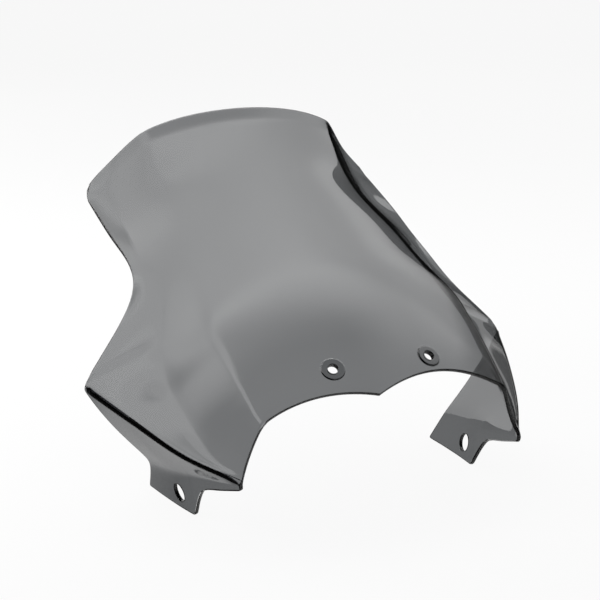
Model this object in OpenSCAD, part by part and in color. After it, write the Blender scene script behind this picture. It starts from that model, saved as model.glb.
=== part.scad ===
// Windshield screen of an adventure motorcycle.
// One moulding of smoke-tinted clear plastic: a raked main panel with a lip along its
// top and sides, two wings, and below each wing a side panel that ends in a mounting tab.
// X is across the screen, -Y is forward and +Z is up. The origin is halfway between
// the centres of the two front holes, in the middle of the sheet.

/* [Sheet] */
// Thickness of the moulded sheet
sheet_t = 3.5; // [2.5:0.1:4.5]
// Rake of the main panel above the horizontal, in degrees
rake = 34; // [25:1:50]

/* [Front holes] */
// Distance between the centres of the two front holes
front_span = 92; // [80:1:100]
// Diameter of each front hole
front_d = 9; // [6:0.5:12]
// Diameter of the round seat moulded around each front hole
seat_d = 21; // [16:0.5:24]
// Height of the seat above the outer face
seat_h = 1.2; // [0.5:0.1:2]

/* [Side holes] */
// Diameter of the hole in each mounting tab
side_d = 17; // [10:0.5:20]
// Distance of the side holes behind the front holes
side_back = 92; // [88:1:96]
// Distance of the side holes below the front holes
side_drop = 122; // [119:1:124]

/* [Top edge and lip] */
// Length of the panel from the front holes to the middle of the top edge
panel_h = 338; // [334:1:342]
// Width of the lip along the top edge
top_lip_w = 13; // [8:1:16]
// Rise of the top lip for each unit of its width
top_lip_rise = 0.3; // [0:0.05:0.5]

/* [Lower edge] */
// Height of the arch cut in the left half of the lower edge
left_arch = 9.5; // [8:0.5:14]
// Height of the arch cut in the right half of the lower edge
right_arch = 16.5; // [12:0.5:20]

/* [Hidden] */

tint = [0.30, 0.31, 0.32, 0.75];
nudge = 0.05;          // step used to measure a slope on the raked plane
side_nudge = 0.01;     // the same down and along a side panel, as a part of its size
through = 20;          // length of a drill, half of it on each side of the sheet
lip_r = 3;             // roundness of the bend at the root of the top lip

// Rows run across the screen, from the lower edge to the top edge, and each passes
// over a wing, the main panel and the other wing. The wing tips are on row tip_row.
rows = 54;
tip_row = 20;
panel_cols = 16;       // columns across the main panel
wing_cols = 12;        // columns across each wing
side_cols = 8;         // columns down each side panel
cols = panel_cols + 2 * wing_cols;

// The screen is laid out on a raked plane: x across it, t up it and h out of it.
// Every table below is [t, value] unless it says otherwise.

// Rise of the middle of the panel and its radius across the screen
crown = [[-60, -7], [-24, -1.2], [0, 3], [47, 6], [100, 4], [167, -3.5], [209, -7.3],
         [239, -8.7], [262, -9.5], [300, -9], [338, -5]];
crown_r = [[-60, 380], [0, 300], [47, 280], [85, 285], [125, 250], [167, 215], [207, 200],
           [239, 172], [262, 160], [282, 170], [306, 209], [338, 212]];
// Shoulders: half width, steepness and roundness
shoulder = [[-40, 113.5], [-24, 117.8], [5, 120.5], [47, 123], [85, 124], [120, 118.5],
            [167, 112.6], [209, 105], [239, 98], [262, 95], [290, 95.5], [320, 98], [340, 99]];
shoulder_drop = [[-60, 1.9], [0, 1.5], [60, 1.35], [100, 1.1], [130, 0.75], [152, 0.42],
                 [172, 0.24], [200, 0.19], [250, 0.2], [272, 0.3], [290, 0.52], [305, 0.75],
                 [325, 0.85], [340, 0.95]];
shoulder_r = [[-60, 2], [-30, 2], [60, 3.5], [130, 6], [200, 6], [340, 3]];
// How far the root of the top lip lies below its height in the middle, [x, drop]
lip_drop = [[0, 0], [100, 0], [125, 0.5], [140, 4], [152, 10]];
// Half width to the valley between a shoulder and its wing, and the valley's roundness
valley = [[-60, 140], [0, 148], [60, 153], [100, 150], [130, 142], [152, 146], [165, 146],
          [180, 142], [198, 140], [216, 138.5], [242, 136.4], [275, 134], [302, 134],
          [325, 132], [340, 126]];
valley_r = [[-60, 12], [100, 12], [150, 8], [200, 6], [250, 5], [290, 5], [320, 7], [340, 10]];
// Half width and height of the fold, from the lower edge to the wing tip
fold_x = [[-55, 134.5], [-14, 163], [48, 193], [102, 215]];
fold_h = [[-55, -58], [-14, -74], [48, -90], [102, -106]];
// Half width and height of the free edge, from the wing tip to the top corner
edge_x = [[102, 215], [125, 192], [147, 170], [165, 156], [187, 151], [250, 153], [320, 154]];
edge_h = [[102, -106], [115, -93], [134, -84], [147, -77], [159, -66], [172, -60.5], [187, -61],
          [250, -71.5], [295, -81], [325, -88]];

tip_t = 102;           // the wing tips
neck_t = 187;          // the narrowest place, at neck_v of the way up
neck_v = 0.58;
foot_t = -55;          // the lower ends of the folds
round_t = 305;         // where the free edge starts to pull in towards the top corner
round_in = 4;          // how far it pulls in
corner = [150, 326];   // [x, t] of the middle of each top corner
low_t = -30.4;         // the outer ends of the lower edge of the main panel
notch_t = -31;         // the point where the two arches of the lower edge meet
arch_lean = 0.9;       // below 1, the arches are fuller towards the wings
notch_u = -1 / 8;      // its place across the lower edge, from -1 to 1
low_bend = [126, -37.5]; // [x, t] that the lower edge of a wing bends towards
top_bends = [[115, 341.5], [140, 339]]; // [x, t] that the top edge of a wing bends towards
fade = 1 / 8;          // part of the height over which the bent ends of a wing even out
top_bow = 1;           // how far the top edge bows up on each side of its middle

// Bend between a side panel and its tab, [y, x] and [y, z]
bend_x = [[-13, 135.6], [35, 143], [68, 148], [88, 150.5], [126, 153.5], [162, 154.8]];
bend_z = [[-13, -82], [35, -90], [68, -96], [88, -99.5], [126, -104], [140, -106]];
// How far a tab leans in towards its lower edge for each unit of its height
tab_lean = 0.18;
// How far a side panel swells outward between the fold and the bend
side_swell = 5;
swell_h = 97;          // height of a side panel at which it swells in full
// Front part of the lower edge of a side panel, [part of the way, y] and [part of the way, z]
low_y = [[0, -13], [0.3, 20], [0.5, 42], [0.62, 50], [0.72, 55.5], [0.84, 61.5], [1, 70.5]];
low_z = [[0, -86.5], [0.3, -97], [0.5, -103.5], [0.62, -107.5], [0.72, -113], [0.84, -121.5],
         [1, -137]];
// Lower corner at the back of the tab and the place where the tab meets the rear edge, [y, z]
tab_rear = [160.5, -138.5];
rear_bend_y = 139.5;
toe_bend_y = 66;       // y of the bend above the front corner of the tab
toe_part = 0.42;       // part of the fold that lies ahead of the tab's front corner
bend_part = 0.55;      // part of a side panel's height that is above the bend
bend_r = 0.08;         // roundness of that bend, as a part of the height

// Slope of the straight line from point i of a table to the next
function chord(p, i) = (p[i + 1][1] - p[i][1]) / (p[i + 1][0] - p[i][0]);
function tangent(p, i) =
    i == 0 ? chord(p, 0) :
    i == len(p) - 1 ? chord(p, i - 1) :
    (chord(p, i - 1) * (p[i + 1][0] - p[i][0]) + chord(p, i) * (p[i][0] - p[i - 1][0]))
        / (p[i + 1][0] - p[i - 1][0]);
function piece_of(p, s, i = 0) = i >= len(p) - 2 || s < p[i + 1][0] ? i : piece_of(p, s, i + 1);
// Value at s of the smooth curve through a table, straight past its ends
function rail(p, s) =
    let (i = piece_of(p, s), w = p[i + 1][0] - p[i][0], a = (s - p[i][0]) / w,
         c = max(0, min(1, a)), m0 = w * tangent(p, i), m1 = w * tangent(p, i + 1))
    p[i][1] * (1 + c * c * (2 * c - 3)) + p[i + 1][1] * c * c * (3 - 2 * c)
    + m0 * c * (1 - c) * (1 - c) - m1 * c * c * (1 - c)
    + m0 * min(0, a) + m1 * max(0, a - 1);

// Zero before a bend and rising by one for each unit after it, rounded over r
function ramp(d, r) = (d + sqrt(d * d + r * r)) / 2;
function bezier2(a, b, c, s) = a * (1 - s) ^ 2 + b * 2 * s * (1 - s) + c * s ^ 2;
function bezier3(a, b, c, d, s) =
    a * (1 - s) ^ 3 + b * 3 * s * (1 - s) ^ 2 + c * 3 * s ^ 2 * (1 - s) + d * s ^ 3;
function mix(a, b, s) = a + (b - a) * s;
function unit(v) = v / norm(v);

// Half width and height of the outer edge at t
function outer_x(t) = t < tip_t ? rail(fold_x, t) : rail(edge_x, t);
function outer_h(t) = t < tip_t ? rail(fold_h, t) : rail(edge_h, t);

// Height of the surface above the raked plane. The valley turns just enough for the
// surface to meet the outer edge at the edge's own height.
function crown_at(x, t) = rail(crown, t) - x * x / (2 * rail(crown_r, t));
function fall_at(x, t) =
    rail(shoulder_drop, t) * ramp(x - rail(shoulder, t), rail(shoulder_r, t));
function valley_turn(t) =
    let (x = outer_x(t))
    (outer_h(t) - crown_at(x, t) + fall_at(x, t)) / ramp(x - rail(valley, t), rail(valley_r, t));
function height(x, t) =
    let (a = abs(x))
    crown_at(a, t) - fall_at(a, t)
    + valley_turn(t) * ramp(a - rail(valley, t), rail(valley_r, t))
    + top_lip_rise * ramp(t - panel_h + top_lip_w + rail(lip_drop, a), lip_r);

// From the raked plane to the screen's own frame, raised so that the front holes are at zero
front_x = front_span / 2;
lift = height(front_x, 0);
function placed(p) =
    [p[0], p[1] * cos(rake) - (p[2] - lift) * sin(rake), p[1] * sin(rake) + (p[2] - lift) * cos(rake)];
function panel_point(q) = placed([q[0], q[1], height(q[0], q[1])]);
function panel_normal(q) =
    unit(cross(panel_point(q + [nudge, 0]) - panel_point(q - [nudge, 0]),
               panel_point(q + [0, nudge]) - panel_point(q - [0, nudge])));

// Layout on the raked plane. v runs from 0 at the lower edge to 1 at the top, and u from -1
// to 1 across the main panel and on to -2 and 2 at the outer edges of the wings.
tip_v = tip_row / rows;
function low_edge_t(u) =
    let (s = u < notch_u ? (u + 1) / (notch_u + 1) : (1 - u) / (1 - notch_u), a = s ^ arch_lean)
    mix(low_t, notch_t, s) + (u < notch_u ? left_arch : right_arch) * 4 * a * (1 - a);
function top_edge_t(u) = panel_h + top_bow * sin(180 * u * u);
function shoulder_q(v) = let (t = mix(low_t, panel_h, v)) [rail(shoulder, t), t];
function outer_q(v) =
    let (t = rail([[0, foot_t], [tip_v, tip_t], [neck_v, neck_t], [1, corner[1]]], v),
         s = max(0, (t - round_t) / (corner[1] - round_t)))
    v == 1 ? corner : [outer_x(t) - round_in * s * s, t];
function wing_q(w, v) =
    let (a = shoulder_q(v), b = outer_q(v),
         low = bezier2(shoulder_q(0), low_bend, outer_q(0), w) - mix(shoulder_q(0), outer_q(0), w),
         top = bezier3(shoulder_q(1), top_bends[0], top_bends[1], corner, w)
               - mix(shoulder_q(1), corner, w))
    mix(a, b, w) + low * max(0, 1 - v / fade) ^ 2
    + top * max(0, 1 - (1 - v) / fade) ^ 2;
function layout(u, v) =
    abs(u) <= 1 ? [u * shoulder_q(v)[0], mix(low_edge_t(u), top_edge_t(u), v)] :
    let (q = wing_q(abs(u) - 1, v)) [sign(u) * q[0], q[1]];

// Side panel and tab on the +X side. v runs from 0 at the front to 1 at the wing tip, and w
// from 0 at the fold to 1 at the lower edge.
function tab_point(q) = [rail(bend_x, q[0]) - tab_lean * (rail(bend_z, q[0]) - q[1]), q[0], q[1]];
function toe(s) = [rail(low_y, s), rail(low_z, s)];
function side_low(v) =
    tab_point(v < toe_part ? toe(v / toe_part) :
        mix(toe(1), tab_rear, (v - toe_part) / (1 - toe_part)));
function side_bend(v) =
    let (y = rail([[0, bend_x[0][0]], [toe_part, toe_bend_y], [1, rear_bend_y]], v))
    tab_point([y, rail(bend_z, y)]);
function side_fold(v) = panel_point(outer_q(v * tip_v));
// Parts of the way from the fold to the bend and from the bend to the lower edge at w, each
// easing into the other over bend_r
function above_bend(w) =
    1 - (ramp(bend_part - w, bend_r) - ramp(bend_part - 1, bend_r))
        / (ramp(bend_part, bend_r) - ramp(bend_part - 1, bend_r));
function below_bend(w) =
    (ramp(w - bend_part, bend_r) - ramp(-bend_part, bend_r))
    / (ramp(1 - bend_part, bend_r) - ramp(-bend_part, bend_r));
function side_point(v, w) =
    let (a = above_bend(w), b = below_bend(w), f = side_fold(v), n = side_bend(v),
         s = min(1, norm(n - f) / swell_h) ^ 3)
    f + (n - f) * a + (side_low(v) - n) * b + [side_swell * s * 4 * a * (1 - a), 0, 0];
function side_normal(v, w) =
    unit(cross(side_point(v, min(1, w + side_nudge)) - side_point(v, max(0, w - side_nudge)),
               side_point(min(1, v + side_nudge), w) - side_point(max(0, v - side_nudge), w)));

function flip_x(p) = [-p[0], p[1], p[2]];
// Offset that keeps the sheet's thickness on both sides of a fold
function mitre(a, b) = (a + b) / (1 + a * b);

col_u = [for (c = [0:cols])
    c < wing_cols ? -2 + c / wing_cols :
    c <= cols - wing_cols ? -1 + 2 * (c - wing_cols) / panel_cols :
    1 + (c - cols + wing_cols) / wing_cols];

// Middle of the sheet and its outward offset at every grid point, one list per row
panel_mid = [for (r = [0:rows]) [for (c = [0:cols]) panel_point(layout(col_u[c], r / rows))]];
panel_out = [for (r = [0:rows]) [for (c = [0:cols])
    let (n = panel_normal(layout(col_u[c], r / rows)))
    r > tip_row || (c > 0 && c < cols) ? n :
    let (s = side_normal(r / tip_row, 0)) mitre(n, c == 0 ? flip_x(s) : s)]];
side_mid = [for (r = [0:tip_row]) [for (c = [1:side_cols]) side_point(r / tip_row, c / side_cols)]];
side_out = [for (r = [0:tip_row]) [for (c = [1:side_cols]) side_normal(r / tip_row, c / side_cols)]];

function flat(l) = [for (a = l) for (b = a) b];
mid = concat(flat(panel_mid), flat(side_mid), [for (p = flat(side_mid)) flip_x(p)]);
out = concat(flat(panel_out), flat(side_out), [for (p = flat(side_out)) flip_x(p)]);
per_face = len(mid);

// Numbers of the grid points. Column 0 of a side panel is the fold itself.
panel_size = (rows + 1) * (cols + 1);
side_size = (tip_row + 1) * side_cols;
function panel_id(r, c) = r * (cols + 1) + c;
function right_id(r, c) = c == 0 ? panel_id(r, cols) : panel_size + r * side_cols + c - 1;
function left_id(r, c) = c == 0 ? panel_id(r, 0) : panel_size + side_size + r * side_cols + c - 1;
function two(a, b, c, d) = [[a, b, c], [a, c, d]];

skin = concat(
    [for (r = [0:rows - 1]) for (c = [0:cols - 1])
        each two(panel_id(r, c), panel_id(r + 1, c), panel_id(r + 1, c + 1), panel_id(r, c + 1))],
    [for (r = [0:tip_row - 1]) for (c = [0:side_cols - 1])
        each two(right_id(r, c), right_id(r + 1, c), right_id(r + 1, c + 1), right_id(r, c + 1))],
    [for (r = [0:tip_row - 1]) for (c = [0:side_cols - 1])
        each two(left_id(r, c), left_id(r, c + 1), left_id(r + 1, c + 1), left_id(r + 1, c))]);

// The free edge, once round the sheet
rim = concat(
    [for (c = [0:cols]) panel_id(0, c)],
    [for (c = [1:side_cols]) right_id(0, c)],
    [for (r = [1:tip_row]) right_id(r, side_cols)],
    [for (c = [1:side_cols]) right_id(tip_row, side_cols - c)],
    [for (r = [tip_row + 1:rows]) panel_id(r, cols)],
    [for (c = [1:cols]) panel_id(rows, cols - c)],
    [for (r = [1:rows - tip_row]) panel_id(rows - r, 0)],
    [for (c = [1:side_cols]) left_id(tip_row, c)],
    [for (r = [1:tip_row]) left_id(tip_row - r, side_cols)],
    [for (c = [1:side_cols - 1]) left_id(0, side_cols - c)]);

module sheet() {
    n = len(rim);
    polyhedron(
        points = concat(mid + out * sheet_t / 2, mid - out * sheet_t / 2),
        faces = concat(
            skin,
            [for (f = skin) [f[2] + per_face, f[1] + per_face, f[0] + per_face]],
            [for (i = [0:n - 1]) let (a = rim[i], b = rim[(i + 1) % n])
                each two(a, b, b + per_face, a + per_face)]),
        convexity = 8);
}

// Puts its children at p with +Z along n
module facing(p, n) {
    translate(p) rotate([0, acos(n[2]), atan2(n[1], n[0])]) children();
}

// Both front holes, their seats and both side holes share these places and directions
front_p = [for (s = [-1, 1]) panel_point([s * front_x, 0])];
front_n = [for (s = [-1, 1]) panel_normal([s * front_x, 0])];
tab_v = 0.56;          // a place on the tab near its hole
tab_w = 0.8;
side_n = side_normal(tab_v, tab_w);
tab_p = side_point(tab_v, tab_w);
// The hole's centre: the point of the tab's plane at the given distances back and down
side_x = tab_p[0]
    - (side_n[1] * (side_back - tab_p[1]) + side_n[2] * (-side_drop - tab_p[2])) / side_n[0];
side_p = [side_x, side_back, -side_drop];

module screen_pane() {
    color(tint)
    difference() {
        union() {
            sheet();
            for (i = [0, 1])
                facing(front_p[i], front_n[i])
                    cylinder(d = seat_d, h = sheet_t / 2 + seat_h, $fn = 64);
        }
        for (i = [0, 1])
            facing(front_p[i], front_n[i])
                cylinder(d = front_d, h = through, center = true, $fn = 48);
        facing(side_p, side_n)
            cylinder(d = side_d, h = through, center = true, $fn = 64);
        facing(flip_x(side_p), flip_x(side_n))
            cylinder(d = side_d, h = through, center = true, $fn = 64);
    }
}

screen_pane();
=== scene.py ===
from math import radians

import bpy
import bmesh
import numpy as np
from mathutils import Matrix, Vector
from mathutils.geometry import delaunay_2d_cdt


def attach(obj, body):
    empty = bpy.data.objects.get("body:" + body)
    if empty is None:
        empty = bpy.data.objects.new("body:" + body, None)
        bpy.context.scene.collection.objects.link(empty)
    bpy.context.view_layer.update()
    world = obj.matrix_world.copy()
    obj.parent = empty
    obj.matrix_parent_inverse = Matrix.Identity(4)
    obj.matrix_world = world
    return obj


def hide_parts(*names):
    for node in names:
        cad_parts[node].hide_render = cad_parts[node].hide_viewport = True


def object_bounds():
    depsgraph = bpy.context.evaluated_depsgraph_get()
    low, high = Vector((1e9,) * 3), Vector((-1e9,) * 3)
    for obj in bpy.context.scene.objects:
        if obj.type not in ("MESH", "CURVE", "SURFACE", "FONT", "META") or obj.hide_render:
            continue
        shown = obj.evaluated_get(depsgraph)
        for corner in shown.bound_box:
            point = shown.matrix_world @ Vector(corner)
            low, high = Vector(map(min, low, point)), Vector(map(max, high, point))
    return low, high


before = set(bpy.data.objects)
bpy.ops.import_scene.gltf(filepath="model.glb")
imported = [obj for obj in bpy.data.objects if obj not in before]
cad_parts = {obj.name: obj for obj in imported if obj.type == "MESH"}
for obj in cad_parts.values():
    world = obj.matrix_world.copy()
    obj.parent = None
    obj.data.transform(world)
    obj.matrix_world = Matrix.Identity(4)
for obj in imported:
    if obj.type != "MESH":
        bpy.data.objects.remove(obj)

cad_box = [list(corner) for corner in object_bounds()]

# ---------------------------------------------------------------- the screen's sizes, in mm
# x runs across the screen, t up its raked plane and h out of that plane, from the middle
# between the front holes. Tables are [place, value] pairs, joined by a smooth curve.
MM_PER_M = 1000
SHEET_T = 3.5
RAKE = radians(34)
FRONT_SPAN, FRONT_D = 92, 9            # the two front holes
SEAT_H = 1.2                           # their raised seats
SIDE_D, SIDE_BACK, SIDE_DROP = 17, 92, 122
PANEL_H = 338                          # t of the top edge
TOP_LIP_W, TOP_LIP_RISE, LIP_R = 13, 0.3, 3
LEFT_ARCH, RIGHT_ARCH, ARCH_LEAN = 9.5, 16.5, 0.9

# Height of the middle line and roundness across it, along t
CROWN = [[-60, -7], [-24, -1.2], [0, 3], [47, 6], [100, 4], [167, -3.5], [209, -7.3], [239, -8.7],
         [262, -9.5], [300, -9], [338, -5]]
CROWN_R = [[-60, 380], [0, 300], [47, 280], [85, 285], [125, 250], [167, 215], [207, 200],
           [239, 172], [262, 160], [282, 170], [306, 209], [338, 212]]
# Shoulders, along t: half width, steepness and roundness
SHOULDER = [[-40, 113.5], [-24, 117.8], [5, 120.5], [47, 123], [85, 124], [120, 118.5],
            [167, 112.6], [209, 105], [239, 98], [262, 95], [290, 95.5], [320, 98], [340, 99]]
SHOULDER_DROP = [[-60, 1.9], [0, 1.5], [60, 1.35], [100, 1.1], [130, 0.75], [152, 0.42],
                 [172, 0.24], [200, 0.19], [250, 0.2], [272, 0.3], [290, 0.52], [305, 0.75],
                 [325, 0.85], [340, 0.95]]
SHOULDER_R = [[-60, 2], [-30, 2], [60, 3.5], [130, 6], [200, 6], [340, 3]]
# How far down t the root of the lip moves, along x
LIP_DROP = [[0, 0], [100, 0], [125, 0.5], [140, 4], [152, 10]]
# Half width to the valley between a shoulder and its wing, and the valley's roundness, along t
VALLEY = [[-60, 140], [0, 148], [60, 153], [100, 150], [130, 142], [152, 146], [165, 146],
          [180, 142], [198, 140], [216, 138.5], [242, 136.4], [275, 134], [302, 134], [325, 132],
          [340, 126]]
VALLEY_R = [[-60, 12], [100, 12], [150, 8], [200, 6], [250, 5], [290, 5], [320, 7], [340, 10]]
# The fold below each wing, then the free edge above its tip, along t
FOOT_T, TIP_T, NECK_T = -55, 102, 187
TIP_V, NECK_V = 20 / 54, 0.58          # shares of the way up at the tip and at the neck
FOLD_X = [[FOOT_T, 134.5], [-14, 163], [48, 193], [TIP_T, 215]]
FOLD_H = [[FOOT_T, -58], [-14, -74], [48, -90], [TIP_T, -106]]
EDGE_X = [[TIP_T, 215], [125, 192], [147, 170], [165, 156], [NECK_T, 151], [250, 153], [320, 154]]
EDGE_H = [[TIP_T, -106], [115, -93], [134, -84], [147, -77], [159, -66], [172, -60.5],
          [NECK_T, -61], [250, -71.5], [295, -81], [325, -88]]
# Plan of the low edge and of the two top corners
LOW_T, NOTCH_T, NOTCH_U = -30.4, -31, -1 / 8
LOW_BEND = (126, -37.5)
CORNER = (150, 326)
ROUND_T, ROUND_IN = 305, 4             # the edge leans in by this much above this t
TOP_BENDS = ((115, 341.5), (140, 339))
TOP_BOW = 1
FADE = 8                               # the end curves fade out over 1/8 of the height
# Side panels: the bend above the tab and the low edge, in y and z
FRONT_Y, TOE_BEND_Y, REAR_BEND_Y = -13, 66, 139.5
BEND_X = [[FRONT_Y, 135.6], [35, 143], [68, 148], [88, 150.5], [126, 153.5], [162, 154.8]]
BEND_Z = [[FRONT_Y, -82], [35, -90], [68, -96], [88, -99.5], [126, -104], [140, -106]]
LOW_Y = [[0, FRONT_Y], [0.3, 20], [0.5, 42], [0.62, 50], [0.72, 55.5], [0.84, 61.5], [1, 70.5]]
LOW_Z = [[0, -86.5], [0.3, -97], [0.5, -103.5], [0.62, -107.5], [0.72, -113], [0.84, -121.5],
         [1, -137]]
TAB_REAR = (160.5, -138.5)
TAB_LEAN, SIDE_SWELL, SWELL_H = 0.18, 5, 97
TOE_PART, BEND_PART, BEND_R = 0.42, 0.55, 0.08


# ---------------------------------------------------------------- the surface
def rail(p, s):
    """Smooth curve through the table p at the places s, straight past its ends."""
    p, s = np.asarray(p, float), np.asarray(s, float)
    w = np.diff(p[:, 0])
    c = np.diff(p[:, 1]) / w
    m = np.concatenate([[c[0]], (c[:-1] * w[1:] + c[1:] * w[:-1]) / (w[1:] + w[:-1]), [c[-1]]])
    i = np.clip(np.searchsorted(p[:, 0], s, side="right") - 1, 0, len(p) - 2)
    a = (s - p[i, 0]) / w[i]
    k = np.clip(a, 0, 1)
    m0, m1 = w[i] * m[i], w[i] * m[i + 1]
    return (p[i, 1] * (1 + k * k * (2 * k - 3)) + p[i + 1, 1] * k * k * (3 - 2 * k)
            + m0 * k * (1 - k) ** 2 - m1 * k * k * (1 - k)
            + m0 * np.minimum(0, a) + m1 * np.maximum(0, a - 1))


def ramp(d, r):
    """0 below d = 0 and d above it, with a rounding of size r between."""
    return (d + np.sqrt(d * d + r * r)) / 2


def mix(a, b, s):
    """The share s of the way from a to b."""
    return a + (b - a) * s


def outer_x(t):
    """Half width to the fold or free edge."""
    return np.where(t < TIP_T, rail(FOLD_X, t), rail(EDGE_X, t))


def outer_h(t):
    """Height of the fold or free edge."""
    return np.where(t < TIP_T, rail(FOLD_H, t), rail(EDGE_H, t))


def crown_at(x, t):
    """Height of the crown without its shoulders."""
    return rail(CROWN, t) - x * x / (2 * rail(CROWN_R, t))


def fall_at(x, t):
    """How far the shoulder has fallen below the crown."""
    return rail(SHOULDER_DROP, t) * ramp(x - rail(SHOULDER, t), rail(SHOULDER_R, t))


def height(x, t):
    """Height of the sheet; past the valley it turns so that it meets the outer edge."""
    a, edge = abs(x), outer_x(t)
    valley, valley_r = rail(VALLEY, t), rail(VALLEY_R, t)
    turn = (outer_h(t) - crown_at(edge, t) + fall_at(edge, t)) / ramp(edge - valley, valley_r)
    return (crown_at(a, t) - fall_at(a, t) + turn * ramp(a - valley, valley_r)
            + TOP_LIP_RISE * ramp(t - PANEL_H + TOP_LIP_W + rail(LIP_DROP, a), LIP_R))


LIFT = float(height(np.array(FRONT_SPAN / 2), np.array(0.0)))
COS_RAKE, SIN_RAKE = np.cos(RAKE), np.sin(RAKE)
MIRROR = (-1, 1, 1)


def panel_point(x, t):
    """Point of the panel or a wing, in the frame's axes."""
    h = height(x, t) - LIFT
    return np.stack([x, t * COS_RAKE - h * SIN_RAKE, t * SIN_RAKE + h * COS_RAKE], -1)


def low_edge_t(u):
    """The low edge of the panel: two arches with a notch between them."""
    left = u < NOTCH_U
    s = np.where(left, (u + 1) / (NOTCH_U + 1), (1 - u) / (1 - NOTCH_U))
    a = np.clip(s, 0, 1) ** ARCH_LEAN
    return mix(LOW_T, NOTCH_T, s) + np.where(left, LEFT_ARCH, RIGHT_ARCH) * 4 * a * (1 - a)


def shoulder_q(v):
    """Plan of the shoulder, x and t, at the share v of the way up."""
    t = mix(LOW_T, PANEL_H, v)
    return np.stack([rail(SHOULDER, t), t], -1)


def outer_q(v):
    """Plan of the fold or free edge at the share v of the way up."""
    t = rail([[0, FOOT_T], [TIP_V, TIP_T], [NECK_V, NECK_T], [1, CORNER[1]]], v)
    s = np.maximum(0, (t - ROUND_T) / (CORNER[1] - ROUND_T))
    return np.stack([np.where(v == 1, CORNER[0], outer_x(t) - ROUND_IN * s * s),
                     np.where(v == 1, CORNER[1], t)], -1)


def bezier(handles, s):
    """Bezier curve from the first handle to the last, drawn to those between."""
    pts = [np.broadcast_to(np.asarray(p, float), s.shape + (2,)) for p in handles]
    while len(pts) > 1:
        pts = [mix(a, b, s[..., None]) for a, b in zip(pts, pts[1:])]
    return pts[0]


def layout(u, v):
    """Place on the raked plane, x and t, of u across the screen and v up it."""
    a = np.abs(u)
    inner = np.stack([u * shoulder_q(v)[..., 0],
                      mix(low_edge_t(u), PANEL_H + TOP_BOW * np.sin(np.pi * u * u), v)], -1)
    w = np.clip(a - 1, 0, 1)
    q0, q1, c = shoulder_q(np.zeros(1))[0], shoulder_q(np.ones(1))[0], np.array(CORNER, float)
    o0 = outer_q(np.zeros(1))[0]
    low = bezier([q0, LOW_BEND, o0], w) - mix(q0, o0, w[..., None])
    top = bezier([q1, TOP_BENDS[0], TOP_BENDS[1], c], w) - mix(q1, c, w[..., None])
    wing = (mix(shoulder_q(v), outer_q(v), w[..., None])
            + low * (np.maximum(0, 1 - FADE * v) ** 2)[..., None]
            + top * (np.maximum(0, 1 - FADE * (1 - v)) ** 2)[..., None])
    wing[..., 0] *= np.sign(u)
    return np.where((a <= 1)[..., None], inner, wing)


def tab_point(y, z):
    """Point of the leaning flat tab, and of the bend at its top."""
    return np.stack([rail(BEND_X, y) - TAB_LEAN * (rail(BEND_Z, y) - z), y, z], -1)


def side_low(v):
    """Low edge of a side panel and its tab, v from the front to the back."""
    s, b = v / TOE_PART, np.clip((v - TOE_PART) / (1 - TOE_PART), 0, 1)
    front = v < TOE_PART
    y = np.where(front, rail(LOW_Y, s), mix(LOW_Y[-1][1], TAB_REAR[0], b))
    z = np.where(front, rail(LOW_Z, s), mix(LOW_Z[-1][1], TAB_REAR[1], b))
    return tab_point(y, z)


def above_bend(w):
    """Goes from 0 at the fold to 1 at the bend, then stays."""
    end = ramp(BEND_PART - 1, BEND_R)
    return 1 - (ramp(BEND_PART - w, BEND_R) - end) / (ramp(BEND_PART, BEND_R) - end)


def below_bend(w):
    """Stays 0 down to the bend, then goes to 1 at the low edge."""
    start = ramp(-BEND_PART, BEND_R)
    return (ramp(w - BEND_PART, BEND_R) - start) / (ramp(1 - BEND_PART, BEND_R) - start)


def side_point(v, w):
    """A side panel and its tab, v from 0 at the front to 1 at the wing tip, w down from the fold."""
    y = rail([[0, FRONT_Y], [TOE_PART, TOE_BEND_Y], [1, REAR_BEND_Y]], v)
    bend, fold = tab_point(y, rail(BEND_Z, y)), fold_point(v)
    a, b = above_bend(w), below_bend(w)
    deep = np.minimum(1, np.linalg.norm(bend - fold, axis=-1) / SWELL_H) ** 3
    p = fold + (bend - fold) * a[..., None] + (side_low(v) - bend) * b[..., None]
    p[..., 0] += SIDE_SWELL * deep * 4 * a * (1 - a)
    return p


def fold_point(v):
    """Point of the fold, v from 0 at the front to 1 at the wing tip."""
    q = outer_q(v * TIP_V)
    return panel_point(q[..., 0], q[..., 1])


# ---------------------------------------------------------------- the fine mesh of the pane
ROWS_LOW, ROWS_HIGH = 100, 104         # rows below and above the wing tips
PANEL_COLS, WING_COLS, SIDE_COLS = 112, 46, 56
FOLD_L = 4.0                           # half length of the rounded fold
TIP_FOLD, FOLD_GROWTH = 0.3, 0.12      # its share at the wing tip, and how that grows per row
FOLD_SHARE = 0.45                      # most of a side panel's depth that it may take
RIM_R = 1.0                            # rounding of the cut edges
BORE_R = 0.5                           # rounding of the rims of the holes
ARC = np.radians([30, 60, 90])         # steps of every rounded rim
RING_POINTS = 72                       # points in each ring around a hole
HOLE_GAP, HOLE_REACH = 0.7, 8          # squares this close to a hole's rings make room for them
UP_AND_BACK = (0.0, 0.6, 0.8)          # where the turn around each hole is measured from
PANEL_STEP, SIDE_STEP = 1e-3, 1e-4     # small steps of the surfaces' parameters, for slopes
SIDE_START = (0.56, 0.8)               # first guess of a side hole's place
TOUCH = 1e-6
NEWTON_STEPS = 8
# half lengths of the rounded corners of the free edge
TAB_ROUND, FRONT_ROUND, TIP_ROUND, TOP_ROUND, SHOULDER_ROUND = 4, 3, 4, 5, 6
EVEN_PASSES = 60
EVEN_LOW, EVEN_HIGH = 4, 12            # rows left as they are above the tips and at the top


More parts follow.
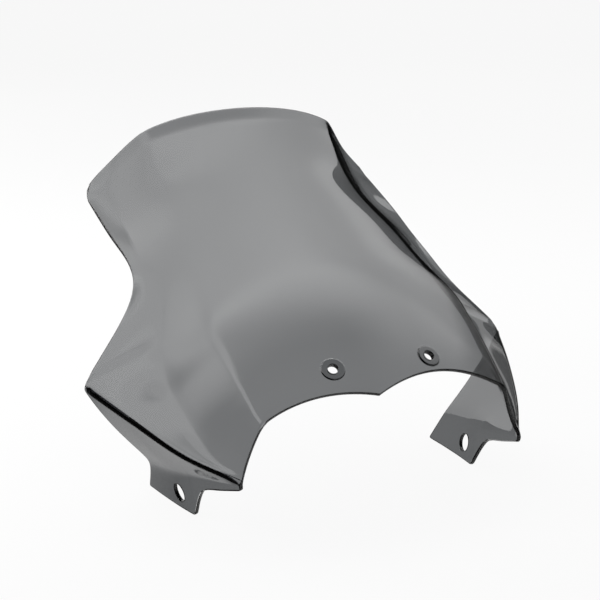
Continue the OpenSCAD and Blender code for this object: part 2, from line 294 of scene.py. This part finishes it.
def spread(n, a, b, ends=(1.0, 1.0)):
    """n + 1 values from a to b, closer together towards an end whose share is under 1 and
    further apart towards one whose share is over 1."""
    s = np.linspace(0, 1, n + 1)
    d = 1 - (1 - ends[0]) * (1 - s) ** 6 - (1 - ends[1]) * s ** 6
    c = np.concatenate([[0], np.cumsum((d[1:] + d[:-1]) / 2)])
    return a + (b - a) * c / c[-1]


v_rows = np.concatenate([spread(ROWS_LOW, 0, TIP_V), spread(ROWS_HIGH, TIP_V, 1, (1, 0.7))[1:]])
u_cols = np.concatenate([spread(WING_COLS, -2, -1, (1.8, 1)), spread(PANEL_COLS, -1, 1)[1:],
                         spread(WING_COLS, 1, 2, (1, 1.8))[1:]])
w_cols = spread(SIDE_COLS, 0, 1, (0.35, 1))[1:]

across_u, up_v = np.meshgrid(u_cols, v_rows)
plan = layout(across_u, up_v)
main = panel_point(plan[..., 0], plan[..., 1])
# evens out small waves along the panel, away from its two ends
first, last = ROWS_LOW + EVEN_LOW, len(main) - EVEN_HIGH
for _ in range(EVEN_PASSES):
    mean = (main[first - 1: last - 1] + main[first + 1: last + 1]) / 2
    main[first:last] += (mean - main[first:last]) / 2
down_w, along_v = np.meshgrid(w_cols, v_rows[: ROWS_LOW + 1] / TIP_V)
flap = side_point(along_v, down_w)

# the rows that have side panels, from the low edge of one across the panel to that of the other
nrow, ncol, nside = len(v_rows), len(u_cols), SIDE_COLS
ext = np.concatenate([flap[:, ::-1] * MIRROR, main[: ROWS_LOW + 1], flap], 1)


def round_fold(grid, corner):
    """Replaces the sharp corner at one column of each row by a short curve."""
    out = grid.copy()
    for r in range(len(grid)):
        row = grid[r]
        d = np.concatenate([[0], np.cumsum(np.linalg.norm(np.diff(row, axis=0), axis=1))])
        d -= d[corner]
        half = FOLD_L * min(1, TIP_FOLD + (ROWS_LOW - r) * FOLD_GROWTH)
        half = min(half, FOLD_SHARE * abs(d[0] if corner < len(row) / 2 else d[-1]))
        a, b = [np.array([np.interp(x, d, row[:, k]) for k in range(3)]) for x in (-half, half)]
        near = np.abs(d) < half
        s = (d[near] + half) / (2 * half)
        out[r, near] = (np.outer((1 - s) ** 2, a) + np.outer(2 * s * (1 - s), row[corner])
                        + np.outer(s * s, b))
    return out


ext = round_fold(round_fold(ext, nside), nside + ncol - 1)
main[: ROWS_LOW + 1] = ext[:, nside: nside + ncol]


def slope(g, axis):
    """Unit directions along one axis of a grid of points."""
    d = np.empty_like(g)
    g, d = np.moveaxis(g, axis, 0), np.moveaxis(d, axis, 0)
    d[1:-1] = g[2:] - g[:-2]
    d[0], d[-1] = g[1] - g[0], g[-1] - g[-2]
    d = d / np.linalg.norm(d, axis=-1, keepdims=True)
    return np.moveaxis(d, 0, axis)


def unit(a):
    """The same directions with a length of 1."""
    return a / np.linalg.norm(a, axis=-1, keepdims=True)


n_ext = unit(np.cross(slope(ext, 1), slope(ext, 0)))
up_main, across_main = slope(main, 0), slope(main, 1)
n_main = unit(np.cross(across_main, up_main))
across_ext = slope(ext, 1)[:, nside: nside + ncol]
n_main[: ROWS_LOW + 1] = unit(np.cross(across_ext, up_main[: ROWS_LOW + 1]))

# one list of points in the middle of the sheet with their outward normals, and their numbers
points = np.concatenate([main.reshape(-1, 3), ext[:, nside + ncol:].reshape(-1, 3),
                         ext[:, :nside].reshape(-1, 3)])
normals = np.concatenate([n_main.reshape(-1, 3), n_ext[:, nside + ncol:].reshape(-1, 3),
                          n_ext[:, :nside].reshape(-1, 3)])
id_main = np.arange(nrow * ncol).reshape(nrow, ncol)
id_right = nrow * ncol + np.arange((ROWS_LOW + 1) * nside).reshape(-1, nside)
id_left = id_right + (ROWS_LOW + 1) * nside
id_ext = np.concatenate([id_left, id_main[: ROWS_LOW + 1], id_right], 1)


def quads(g):
    """Four-cornered faces between the numbers in a grid."""
    return np.stack([g[:-1, :-1], g[:-1, 1:], g[1:, 1:], g[1:, :-1]], -1).reshape(-1, 4)


skin = np.concatenate([quads(id_ext), quads(id_main[ROWS_LOW:])])
rim = np.concatenate([id_ext[0], id_ext[1:, -1], id_right[-1, ::-1][1:], id_main[ROWS_LOW:, -1],
                      id_main[-1, ::-1][1:], id_main[ROWS_LOW:-1, 0][::-1], id_left[-1, ::-1],
                      id_left[1:-1, 0][::-1]])


def soften(corner, half):
    """Rounds the free edge at one of its corners."""
    k = int(np.flatnonzero(rim == corner)[0])
    loop = np.roll(rim, len(rim) // 2 - k)
    pts = points[loop]
    d = np.concatenate([[0], np.cumsum(np.linalg.norm(np.diff(pts, axis=0), axis=1))])
    d -= d[len(rim) // 2]
    near = np.abs(d) < half
    s = ((d[near] + half) / (2 * half))[:, None]
    a, b = [np.array([np.interp(x, d, pts[:, k]) for k in range(3)]) for x in (-half, half)]
    points[loop[near]] = (1 - s) ** 2 * a + 2 * s * (1 - s) * points[corner] + s * s * b


toe_row = round(TOE_PART * ROWS_LOW)
rounded = [
    (TAB_ROUND, id_right[-1, -1]), (TAB_ROUND, id_left[-1, 0]),
    (TAB_ROUND, id_right[toe_row, -1]), (TAB_ROUND, id_left[toe_row, 0]),
    (FRONT_ROUND, id_right[0, -1]), (FRONT_ROUND, id_left[0, 0]),
    (TIP_ROUND, id_main[ROWS_LOW, -1]), (TIP_ROUND, id_main[ROWS_LOW, 0]),
    (TOP_ROUND, id_main[-1, -1]), (TOP_ROUND, id_main[-1, 0]),
    (SHOULDER_ROUND, id_main[0, WING_COLS]), (SHOULDER_ROUND, id_main[0, -1 - WING_COLS]),
]
for half, corner in rounded:
    soften(corner, half)


# ---------------------------------------------------------------- holes and their seats
lift = np.zeros(len(points))           # how far the outer face stands above the plain sheet


def solve(surface, q, base, axes, target, step):
    """Parameters at which the surface, measured from base along two axes, meets each target."""
    q = np.array(np.broadcast_to(q, target.shape), float)
    for _ in range(NEWTON_STEPS):
        p = surface(q[:, 0], q[:, 1])
        dp = [(surface(q[:, 0] + step, q[:, 1]) - p) / step,
              (surface(q[:, 0], q[:, 1] + step) - p) / step]
        miss = np.stack([(p - base) @ e for e in axes], -1) - target
        j = np.stack([np.stack([d @ e for d in dp], -1) for e in axes], -2)
        q -= np.linalg.solve(j, miss[..., None])[..., 0]
    return q


def facing(surface, q, step):
    """Unit normals of the surface at the parameters q."""
    du = surface(q[:, 0] + step, q[:, 1]) - surface(q[:, 0] - step, q[:, 1])
    dv = surface(q[:, 0], q[:, 1] + step) - surface(q[:, 0], q[:, 1] - step)
    return unit(np.cross(du, dv))


def make_hole(surface, q, step, sign, radii, rise):
    """Cuts a round hole, with rings of points of the given radii around it. The first ring
    is the edge of the hole's rounded rim, and rise is the height of each ring's seat. The
    normals that the surface's parameters give are turned outwards by sign."""
    global points, normals, lift, skin, tris
    centre = surface(q[:, 0], q[:, 1])[0]
    axis = facing(surface, q, step)[0] * sign
    across = unit(np.cross(axis, UP_AND_BACK))
    axes = (across, np.cross(axis, across))
    off = points - centre
    flat = np.stack([off @ e for e in axes], -1)
    close = np.hypot(flat[:, 0], flat[:, 1]) < radii[-1] + HOLE_GAP
    close &= np.abs(off @ axis) < HOLE_REACH
    hit = close[skin].any(1)
    gone, skin = skin[hit], skin[~hit]
    edges = np.sort(np.concatenate([gone[:, [k, (k + 1) % 4]] for k in range(4)]), 1)
    edges, times = np.unique(edges, axis=0, return_counts=True)
    border = edges[times == 1]

    ang = np.arange(RING_POINTS) * 2 * np.pi / RING_POINTS
    target = np.concatenate([r * np.stack([np.cos(ang), np.sin(ang)], -1) for r in radii])
    where = solve(surface, q, centre, axes, target, step)
    start = len(points)
    points = np.concatenate([points, surface(where[:, 0], where[:, 1])])
    normals = np.concatenate([normals, facing(surface, where, step) * sign])
    lift = np.concatenate([lift, np.repeat(rise, RING_POINTS)])
    ring = start + np.arange(len(radii) * RING_POINTS).reshape(-1, RING_POINTS)
    nxt = np.roll(ring, -1, 1)
    between = np.stack([ring[:-1], ring[1:], nxt[1:], nxt[:-1]], -1)
    skin = np.concatenate([skin, between.reshape(-1, 4)])

    # the strip between the last ring and the squares that are left
    names = np.concatenate([np.unique(border), ring[-1]])
    spot = {int(k): i for i, k in enumerate(names)}
    local = np.concatenate([flat[names[names < start]], target[-RING_POINTS:]])
    lines = [(spot[int(a)], spot[int(b)]) for a, b in
             np.concatenate([border, np.stack([ring[-1], nxt[-1]], -1)])]
    made = delaunay_2d_cdt([Vector(p) for p in local], lines, [], 0, TOUCH)
    triangles, source = made[2], [o[0] for o in made[3]]
    corners = flat[gone]
    for triangle in triangles:
        ids = [source[k] for k in triangle]
        if min(ids) >= len(names) - RING_POINTS:
            continue                   # inside the last ring
        side = np.roll(corners, -1, 1) - corners
        rel = local[ids].mean(0) - corners
        turn = side[..., 0] * rel[..., 1] - side[..., 1] * rel[..., 0]
        if ((turn > 0).all(1) | (turn < 0).all(1)).any():
            tris.append([int(names[i]) for i in ids])
    return ring[0]


tris = []
# the rings around a front hole, [radius, height], from its rim over its seat to the sheet
SEAT = [[FRONT_D / 2 + BORE_R, SEAT_H], [6.2, SEAT_H], [7.6, SEAT_H], [8.8, SEAT_H], [9.4, 1.18],
        [9.8, 1.08], [10.1, 0.85], [10.3, 0.5], [10.5, 0.18], [10.8, 0.04], [11.3, 0]]
SIDE_RINGS = [SIDE_D / 2 + BORE_R, 9.6, 10.6, 11.6]


def side_left(v, w):
    """The mirrored side panel."""
    return side_point(v, w) * MIRROR


seat_r, seat_h = zip(*SEAT)
bores = [make_hole(panel_point, np.array([[x, 0.0]]), PANEL_STEP, 1, seat_r, seat_h)
         for x in (FRONT_SPAN / 2, -FRONT_SPAN / 2)]
at = solve(side_point, np.array([SIDE_START]), np.zeros(3), np.array([[0, 1, 0], [0, 0, 1.0]]),
           np.array([[SIDE_BACK, -SIDE_DROP]], float), SIDE_STEP)
bores += [make_hole(surface, at, SIDE_STEP, sign, SIDE_RINGS, [0.0] * len(SIDE_RINGS))
          for surface, sign in ((side_point, -1), (side_left, 1))]

# ---------------------------------------------------------------- both faces and the cut edges
count = len(points)
top = SHEET_T / 2 + lift
front, back = points + normals * top[:, None], points - normals * SHEET_T / 2
verts, edge_faces = [front, back], []


def close_edge(loop, inset, r):
    """Rounded wall between the two faces along a loop of points. With inset, the wall stays
    inside the loop."""
    pts, nrm = points[loop], normals[loop]
    out = unit(np.cross(unit(np.roll(pts, -1, 0) - np.roll(pts, 1, 0)), nrm))
    if inset:
        front[loop] -= out * r
        back[loop] -= out * r
        pts = pts - out * r
    half = top[loop][:, None]
    bands = [pts + out * r * np.sin(a) + nrm * (half - r + r * np.cos(a)) for a in ARC]
    bands += [pts + out * r * np.sin(a) - nrm * (SHEET_T / 2 - r + r * np.cos(a))
              for a in ARC[::-1]]
    first = sum(len(v) for v in verts)
    verts.extend(bands)
    ids = [loop] + [first + k * len(loop) + np.arange(len(loop)) for k in range(len(bands))]
    ids.append(loop + count)
    edge_faces.extend(np.stack([b, np.roll(b, -1), np.roll(a, -1), a], -1)
                      for a, b in zip(ids, ids[1:]))


close_edge(rim, True, RIM_R)
for loop in bores:
    close_edge(loop[::-1], False, BORE_R)
verts = np.concatenate(verts) / MM_PER_M
faces = np.concatenate([skin, skin[:, ::-1] + count] + edge_faces).tolist()
faces += tris + [[k + count for k in reversed(t)] for t in tris]

mesh = bpy.data.meshes.new("smoke_pane")
mesh.from_pydata(verts.tolist(), [], faces)
bm = bmesh.new()
bm.from_mesh(mesh)
bm.verts.ensure_lookup_table()
# marks the walls, for the material
cut = bm.verts.layers.float.new("cut_edge")
for k in range(2 * count, len(bm.verts)):
    bm.verts[k][cut] = 1.0
bmesh.ops.delete(bm, geom=[v for v in bm.verts if not v.link_faces], context="VERTS")
bmesh.ops.recalc_face_normals(bm, faces=bm.faces)
bm.to_mesh(mesh)
bm.free()
for poly in mesh.polygons:
    poly.use_smooth = True


# ---------------------------------------------------------------- material
def node(tree, kind, **sockets):
    """Adds a node and sets its sockets, named here with _ for each space."""
    made = tree.nodes.new(kind)
    for name, value in sockets.items():
        made.inputs[name.replace("_", " ")].default_value = value
    return made


def new_material(name):
    """A material with nothing but its output node."""
    material = bpy.data.materials.new(name)
    material.use_nodes = True
    material.node_tree.nodes.clear()
    return material, material.node_tree, material.node_tree.nodes.new("ShaderNodeOutputMaterial")


def smoke_clear():
    """Polycarbonate tinted all through, with shallow waves, faint haze and duller cut edges."""
    material, tree, output = new_material("smoke_clear")
    link = tree.links.new
    clear = node(tree, "ShaderNodeBsdfPrincipled", Base_Color=(1, 1, 1, 1), IOR=1.58,
                 Transmission_Weight=1.0)
    tint = node(tree, "ShaderNodeVolumeAbsorption", Color=(0.30, 0.31, 0.32, 1), Density=625)
    place = node(tree, "ShaderNodeTexCoord").outputs["Object"]

    # long, very shallow waves left by the mould
    waves = node(tree, "ShaderNodeTexNoise", Scale=22, Detail=1)
    relief = node(tree, "ShaderNodeBump", Strength=0.25, Distance=0.0002)
    link(place, waves.inputs["Vector"])
    link(waves.outputs["Fac"], relief.inputs["Height"])
    link(relief.outputs["Normal"], clear.inputs["Normal"])

    # faint haze from handling, and duller cut edges
    haze = node(tree, "ShaderNodeTexNoise", Scale=60, Detail=6)
    gloss = node(tree, "ShaderNodeMapRange", From_Min=0.35, From_Max=0.75, To_Min=0.012, To_Max=0.05)
    edge = tree.nodes.new("ShaderNodeAttribute")
    edge.attribute_name = "cut_edge"
    dull = node(tree, "ShaderNodeMapRange", To_Min=0.0, To_Max=0.22)
    total = tree.nodes.new("ShaderNodeMath")
    total.operation = "ADD"
    link(place, haze.inputs["Vector"])
    link(haze.outputs["Fac"], gloss.inputs["Value"])
    link(edge.outputs["Fac"], dull.inputs["Value"])
    link(gloss.outputs["Result"], total.inputs[0])
    link(dull.outputs["Result"], total.inputs[1])
    link(total.outputs[0], clear.inputs["Roughness"])

    link(clear.outputs["BSDF"], output.inputs["Surface"])
    link(tint.outputs["Volume"], output.inputs["Volume"])
    return material


def new_object(name, data):
    """An object that is in the scene."""
    made = bpy.data.objects.new(name, data)
    bpy.context.scene.collection.objects.link(made)
    return made


pane = new_object("smoke_pane", mesh)
mesh.materials.append(smoke_clear())
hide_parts("screen_pane")
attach(pane, "root")


# ---------------------------------------------------------------- stage, light and camera, in m
FLOOR_HALF = 20
BOX_Z, BOX_X, BOX_FRONT, BOX_BACK = 0.55, 4, -0.5, 4
BOX_POWER, BOX_BASE = 2.4, 0.05        # light of the soft box where it is lit, and elsewhere
TABLE_GREY, TABLE_GLOW, FELT_GREY = 0.06, 0.93, 0.01
CARD_X = 0.25
CAMERA_AT, CAMERA_TURN = (-0.583, -1.0247, 0.3422), (76.30, 0, -26.32)
LENS, SENSOR = 87, 36


def stage_sheet(name, corners, material):
    """One flat face that belongs to the studio, not to the object."""
    sheet = bpy.data.meshes.new(name)
    sheet.from_pydata(corners, [], [range(len(corners))])
    sheet.materials.append(material)
    return new_object(name, sheet)


def matt(name, grey, glow):
    """A matt grey material that may also give light."""
    material, tree, output = new_material(name)
    paint = node(tree, "ShaderNodeBsdfPrincipled", Base_Color=(grey, grey, grey, 1), Roughness=0.9,
                 Specular_IOR_Level=0.0, Emission_Color=(1, 1, 1, 1), Emission_Strength=glow)
    tree.links.new(paint.outputs["BSDF"], output.inputs["Surface"])
    return material


def studio_world():
    """Light from below the horizon, dim on the left, with hardly any from above it."""
    world = bpy.data.worlds.new("studio")
    world.use_nodes = True
    sky = world.node_tree
    background = sky.nodes["Background"]
    background.inputs["Color"].default_value = (1, 1, 1, 1)
    place = node(sky, "ShaderNodeTexCoord")
    axes = node(sky, "ShaderNodeSeparateXYZ")
    rightward = node(sky, "ShaderNodeMapRange", From_Min=-0.35, From_Max=-0.08, To_Min=0.03,
                     To_Max=0.5)
    downward = node(sky, "ShaderNodeMapRange", From_Min=-0.25, From_Max=-0.05, To_Min=1.0,
                    To_Max=0.08)
    both = sky.nodes.new("ShaderNodeMath")
    both.operation = "MULTIPLY"
    sky.links.new(place.outputs["Generated"], axes.inputs["Vector"])
    sky.links.new(axes.outputs["X"], rightward.inputs["Value"])
    sky.links.new(axes.outputs["Z"], downward.inputs["Value"])
    sky.links.new(rightward.outputs["Result"], both.inputs[0])
    sky.links.new(downward.outputs["Result"], both.inputs[1])
    sky.links.new(both.outputs[0], background.inputs["Strength"])
    return world


def soft_box_glow():
    """The light of the soft box: bright in the middle, with gaps, side lobes and soft ends."""
    material, tree, output = new_material("soft_box_glow")

    def math(kind, a, b):
        made = tree.nodes.new("ShaderNodeMath")
        made.operation = kind
        for socket, value in zip(made.inputs, (a, b)):
            if isinstance(value, (int, float)):
                socket.default_value = value
            else:
                tree.links.new(value, socket)
        return made.outputs[0]

    def fade(value, start, stop, low, high):
        """Goes smoothly from low where the value is start to high where it is stop."""
        if start > stop:
            start, stop, low, high = stop, start, high, low
        made = node(tree, "ShaderNodeMapRange", From_Min=start, From_Max=stop, To_Min=low,
                    To_Max=high)
        made.interpolation_type = "SMOOTHSTEP"
        tree.links.new(value, made.inputs["Value"])
        return made.outputs["Result"]

    def product(*parts):
        out = parts[0]
        for part in parts[1:]:
            out = math("MULTIPLY", out, part)
        return out

    place = node(tree, "ShaderNodeTexCoord")
    axes = node(tree, "ShaderNodeSeparateXYZ")
    tree.links.new(place.outputs["Object"], axes.inputs["Vector"])
    px, py = axes.outputs["X"], axes.outputs["Y"]

    # the front edge of the light is crisp in the middle and soft on the right
    crisp = fade(py, -0.02, 0.27, 0, 1)
    soft = fade(py, -0.35, 0.4, 0.05, 1)
    share = fade(px, 0.15, 0.5, 0, 1)
    front_edge = math("ADD", product(crisp, math("SUBTRACT", 1.0, share)), product(soft, share))
    left_end = fade(math("ADD", px, product(py, 1.6)), -1.0, -0.15, 0, 1)
    right_end = product(fade(px, 0.1, 0.6, 1, 0.75), fade(px, 0.6, 1.3, 1, 0.6),
                        fade(math("SUBTRACT", px, product(py, 0.5)), 0.75, 0.95, 1, 0.3))
    # a dim patch behind the middle
    patch = product(fade(py, 0.42, 0.62, 0, 0.7), fade(px, -0.32, -0.1, 0, 1),
                    fade(px, 0.3, 0.1, 0, 1), fade(py, 1.0, 1.3, 1, 0))
    # behind this slanted line on the right the studio is dark
    slant = product(fade(math("SUBTRACT", py, product(px, 0.6)), 0.2, 0.48, 0, 0.6),
                    fade(px, 0.2, 0.65, 0, 1))
    level = product(fade(px, -0.5, -0.1, 0.85, 1), fade(px, 0.1, 0.5, 1, 0.84),
                    fade(py, 0.2, 0.33, 1.2, 0.86), fade(py, 0.42, 0.6, 1, 1.15))
    main_light = product(front_edge, left_end, right_end, math("SUBTRACT", 1.0, patch),
                         math("SUBTRACT", 1.0, slant), level)
    # smaller lights: two on the left and one far off on the right
    wing_light = product(fade(py, -0.25, -0.1, 0, 0.64), fade(px, -0.44, -0.57, 0, 1),
                         fade(px, -1.1, -0.8, 0, 1))
    side_light = product(fade(py, 0.0, 0.13, 0, 0.8), fade(px, -0.2, -0.4, 0, 1),
                         fade(px, -1.1, -0.8, 0, 1), fade(py, 0.6, 0.4, 0, 1))
    far_light = product(fade(px, 2.0, 2.8, 0, 0.42), fade(py, 3.2, 2.6, 0, 1))
    for other in (wing_light, far_light, side_light):
        main_light = math("MAXIMUM", main_light, other)

    lit = product(math("ADD", product(main_light, BOX_POWER), BOX_BASE),
                  fade(py, 1.3, 2.1, 1, 0.4))
    glow = node(tree, "ShaderNodeEmission", Color=(1, 1, 1, 1))
    tree.links.new(lit, glow.inputs["Strength"])
    tree.links.new(glow.outputs["Emission"], output.inputs["Surface"])
    return material


def only_mirrored(thing):
    """Hides a thing except in reflections, and from throwing shadows."""
    thing.visible_camera = False
    thing.visible_transmission = False
    thing.visible_shadow = False


scene = bpy.context.scene
scene.view_settings.view_transform = "Standard"
scene.world = studio_world()

floor_z = cad_box[0][2]
floor = stage_sheet("floor", [(x * FLOOR_HALF, y * FLOOR_HALF, floor_z)
                              for x, y in ((-1, -1), (1, -1), (1, 1), (-1, 1))],
                    matt("light_table", TABLE_GREY, TABLE_GLOW))
floor.visible_glossy = False           # the pane mirrors the studio above it, not the floor

soft_box = stage_sheet("soft_box", [(-BOX_X, BOX_FRONT, BOX_Z), (BOX_X, BOX_FRONT, BOX_Z),
                                    (BOX_X, BOX_BACK, BOX_Z), (-BOX_X, BOX_BACK, BOX_Z)],
                       soft_box_glow())
only_mirrored(soft_box)

# a black card close to the right side keeps the light off the flange there
card = stage_sheet("black_card", [(CARD_X, y, z) for y, z in (
    (0.2, 0), (0.5, 0), (0.5, 0.245), (0.37, 0.238), (0.34, 0.212), (0.23, 0.1))],
                   matt("black_felt", FELT_GREY, 0.0))
only_mirrored(card)

lens = bpy.data.cameras.new("camera")
lens.lens, lens.sensor_width = LENS, SENSOR
camera = new_object("camera", lens)
camera.location = CAMERA_AT
camera.rotation_euler = [radians(turn) for turn in CAMERA_TURN]
scene.camera = camera
